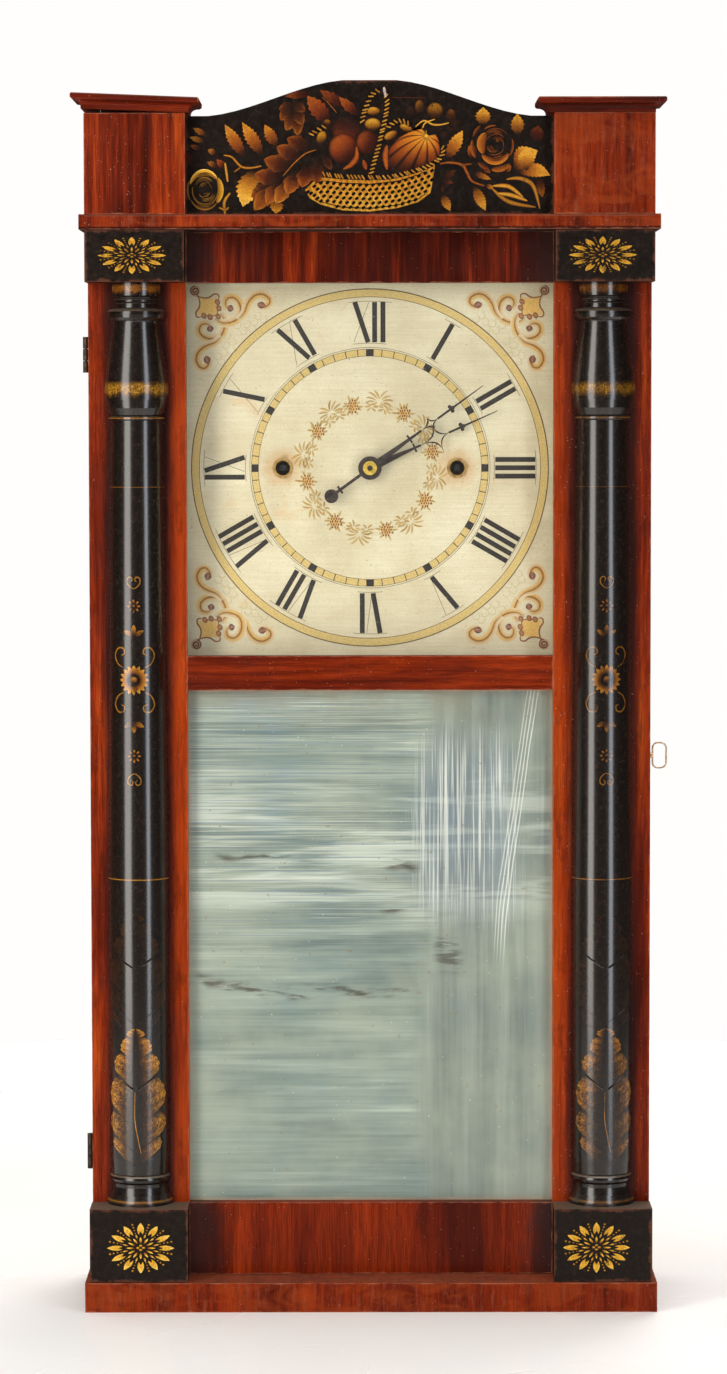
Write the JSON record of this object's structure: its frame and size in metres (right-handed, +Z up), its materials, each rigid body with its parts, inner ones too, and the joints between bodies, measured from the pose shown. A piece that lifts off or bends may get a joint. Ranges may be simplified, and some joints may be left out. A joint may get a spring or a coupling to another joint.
{
  "type": "shelf clock",
  "caption": "Tall shelf clock with a painted dial over a looking-glass panel, stencilled half columns, a splat between capped pedestals, and a wooden weight-driven striking movement.",
  "frame": {"origin": "centre of the bottom face of the base", "axes": "+Z up; the door and dial face -Y; +X is to the right as the clock is seen from the front"},
  "size_m": [0.4315, 0.148, 0.893],
  "materials": {
    "case_mahogany": "varnished",
    "black_paint": "black varnish with bronze-powder stencils",
    "pine": "aged, unfinished",
    "movement_wood": "oiled",
    "dial_paint": "painted",
    "brass": "satin",
    "steel": "blued",
    "iron": "rough",
    "glass": "clear",
    "mirror": "clouded silvering",
    "cord": "twisted"
  },
  "bodies": {
    "case": {"base": "case_mahogany", "case_side_left": "case_mahogany", "case_side_right": "case_mahogany", "top_board": "pine", "backboard": "pine", "cornice": "case_mahogany", "pedestal_left": "case_mahogany", "pedestal_right": "case_mahogany", "cap_left": "case_mahogany", "cap_right": "case_mahogany", "cap_nails": "steel", "splat": "black_paint", "movement_rails": "pine", "dial_board": "dial_paint", "winding_bushes": "brass", "front_plate": "movement_wood", "back_plate": "movement_wood", "bell": "iron", "hinge_case_leaves": "steel", "time_cord_run": "cord", "strike_cord_run": "cord", "time_cord_drop": "cord", "strike_cord_drop": "cord"},
    "door": {"stile_left": "case_mahogany", "stile_right": "case_mahogany", "rail_top": "case_mahogany", "rail_mid": "case_mahogany", "rail_bottom": "case_mahogany", "block_top_left": "black_paint", "block_top_right": "black_paint", "block_bottom_left": "black_paint", "block_bottom_right": "black_paint", "column_left": "black_paint", "column_right": "black_paint", "dial_glass": "glass", "looking_glass": "mirror", "glass_backing": "pine", "hinge_door_leaves": "steel"},
    "latch": {"door_latch": "steel"},
    "minute": {"minute_hand": "steel", "hand_washer": "brass", "minute_arbor": "movement_wood"},
    "hour": {"hour_hand": "steel", "hour_wheel": "movement_wood"},
    "minute_wheel_body": {"minute_wheel": "movement_wood"},
    "time_great": {"time_great_wheel": "movement_wood"},
    "time_winding": {"time_drum": "movement_wood"},
    "third": {"third_wheel": "movement_wood"},
    "escape": {"escape_wheel": "brass"},
    "verge_body": {"verge": "brass"},
    "pendulum_body": {"pendulum": "brass"},
    "strike_great": {"strike_great_wheel": "movement_wood"},
    "strike_winding": {"strike_drum": "movement_wood"},
    "pin_wheel_body": {"pin_wheel": "movement_wood"},
    "fly_body": {"fly": "movement_wood"},
    "hammer_body": {"hammer": "steel"},
    "time_weight_body": {"time_weight": "iron"},
    "strike_weight_body": {"strike_weight": "iron"},
    "time_pulley_body": {"time_pulley": "movement_wood"},
    "strike_pulley_body": {"strike_pulley": "movement_wood"}
  },
  "joints": [
    {"name": "door_hinge", "type": "hinge", "parent": "case", "child": "door", "pos_m": [-0.2074, -0.01775, 0.4037], "axis": [0, 0, -1], "range_deg": [0, 110]},
    {"name": "latch_turn", "type": "hinge", "parent": "door", "child": "latch", "pos_m": [0.197, -0.027, 0.4037], "axis": [-1, 0, 0], "range_deg": [0, 90]},
    {"name": "minute_turn", "type": "hinge", "parent": "case", "child": "minute", "pos_m": [0, -0.015, 0.614], "axis": [0, 1, 0], "continuous": true},
    {"name": "hour_turn", "type": "hinge", "parent": "case", "child": "hour", "pos_m": [0, -0.012, 0.614], "axis": [0, 1, 0], "continuous": true},
    {"name": "minute_wheel_turn", "type": "hinge", "parent": "case", "child": "minute_wheel_body", "pos_m": [-0.02, 0.008, 0.614], "axis": [0, 1, 0], "continuous": true},
    {"name": "time_great_turn", "type": "hinge", "parent": "case", "child": "time_great", "pos_m": [0.064, 0.022, 0.614], "axis": [0, 1, 0], "continuous": true},
    {"name": "third_turn", "type": "hinge", "parent": "case", "child": "third", "pos_m": [-0.00529, 0.031, 0.64961], "axis": [0, 1, 0], "continuous": true},
    {"name": "escape_turn", "type": "hinge", "parent": "case", "child": "escape", "pos_m": [0.018, 0.009, 0.676], "axis": [0, 1, 0], "continuous": true},
    {"name": "time_winding_turn", "type": "hinge", "parent": "time_great", "child": "time_winding", "pos_m": [0.064, 0.03, 0.614], "axis": [0, 1, 0], "range_deg": [0, 1800]},
    {"name": "pendulum_swing", "type": "hinge", "parent": "case", "child": "pendulum_body", "pos_m": [0.018, 0.004, 0.7], "axis": [0, 1, 0], "range_deg": [-4, 4]},
    {"name": "verge_rock", "type": "hinge", "parent": "case", "child": "verge_body", "pos_m": [0.018, 0.008, 0.7], "axis": [0, 1, 0], "range_deg": [-4, 4]},
    {"name": "pin_wheel_turn", "type": "hinge", "parent": "case", "child": "pin_wheel_body", "pos_m": [-0.07303, 0.031, 0.66521], "axis": [0, 1, 0], "continuous": true},
    {"name": "strike_great_turn", "type": "hinge", "parent": "case", "child": "strike_great", "pos_m": [-0.064, 0.022, 0.614], "axis": [0, 1, 0], "continuous": true},
    {"name": "fly_turn", "type": "hinge", "parent": "case", "child": "fly_body", "pos_m": [-0.05773, 0.04, 0.69171], "axis": [0, 1, 0], "continuous": true},
    {"name": "strike_winding_turn", "type": "hinge", "parent": "strike_great", "child": "strike_winding", "pos_m": [-0.064, 0.03, 0.614], "axis": [0, 1, 0], "range_deg": [-1800, 0]},
    {"name": "hammer_lift", "type": "hinge", "parent": "case", "child": "hammer_body", "pos_m": [-0.088, 0.03, 0.699], "axis": [0, -1, 0], "range_deg": [0, 12], "stiffness_Nm_per_rad": 0.01, "springref_deg": -5.73},
    {"name": "time_weight_slide", "type": "slide", "parent": "case", "child": "time_weight_body", "axis": [0, 0, 1], "range_m": [0, 0.46], "deforming": ["time_cord_drop"]},
    {"name": "strike_weight_slide", "type": "slide", "parent": "case", "child": "strike_weight_body", "axis": [0, 0, 1], "range_m": [0, 0.46], "deforming": ["strike_cord_drop"]},
    {"name": "time_pulley_turn", "type": "hinge", "parent": "case", "child": "time_pulley_body", "pos_m": [0.151, 0.036, 0.755], "axis": [0, 1, 0], "range_deg": [-1900, 0]},
    {"name": "strike_pulley_turn", "type": "hinge", "parent": "case", "child": "strike_pulley_body", "pos_m": [-0.151, 0.036, 0.755], "axis": [0, 1, 0], "range_deg": [0, 1900]}
  ],
  "couplings": [
    {"joint": "hour_turn", "follows": "minute_turn", "ratio": 0.083333},
    {"joint": "minute_wheel_turn", "follows": "minute_turn", "ratio": -0.33333},
    {"joint": "time_great_turn", "follows": "minute_turn", "ratio": -0.16667},
    {"joint": "third_turn", "follows": "minute_turn", "ratio": -9},
    {"joint": "escape_turn", "follows": "minute_turn", "ratio": 90},
    {"joint": "verge_rock", "follows": "pendulum_swing", "ratio": 1},
    {"joint": "strike_great_turn", "follows": "pin_wheel_turn", "ratio": -0.11111},
    {"joint": "fly_turn", "follows": "pin_wheel_turn", "ratio": -7.5},
    {"joint": "time_winding_turn", "follows": "time_weight_slide", "rad_per_m": 66.667},
    {"joint": "time_pulley_turn", "follows": "time_weight_slide", "rad_per_m": -71.429},
    {"joint": "strike_winding_turn", "follows": "strike_weight_slide", "rad_per_m": -66.667},
    {"joint": "strike_pulley_turn", "follows": "strike_weight_slide", "rad_per_m": 71.429}
  ]
}
